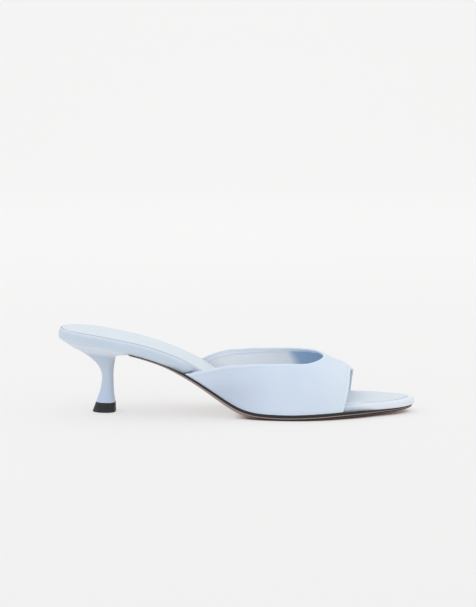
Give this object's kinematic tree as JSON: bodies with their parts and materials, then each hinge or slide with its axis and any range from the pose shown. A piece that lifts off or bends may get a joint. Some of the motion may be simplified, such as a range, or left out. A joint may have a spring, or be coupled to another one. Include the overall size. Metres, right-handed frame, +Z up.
{
  "type": "kitten heel mule",
  "caption": "Open-toed, open-backed leather mule with a smooth wide vamp band, padded footbed, thin dark sole and slim covered kitten heel.",
  "frame": {"origin": "on the floor, under the middle of the shoe's bounding box", "axes": "+X along the shoe to the toe, -Y to the outer side of the foot, +Z up from the floor"},
  "size_m": [0.2456, 0.08, 0.0596],
  "materials": {
    "upper_leather": "smooth, soft sheen",
    "sock_leather": "smooth, matt",
    "footbed_leather": "smooth, soft sheen",
    "heel_cover": "smooth, soft sheen",
    "top_piece_rubber": "matt",
    "sole_leather": "dark stained edge"
  },
  "bodies": {
    "root": {"upper": "upper_leather", "sock": "sock_leather", "footbed": "footbed_leather", "heel": "heel_cover", "heel_tip": "top_piece_rubber", "outsole": "sole_leather"}
  },
  "joints": []
}
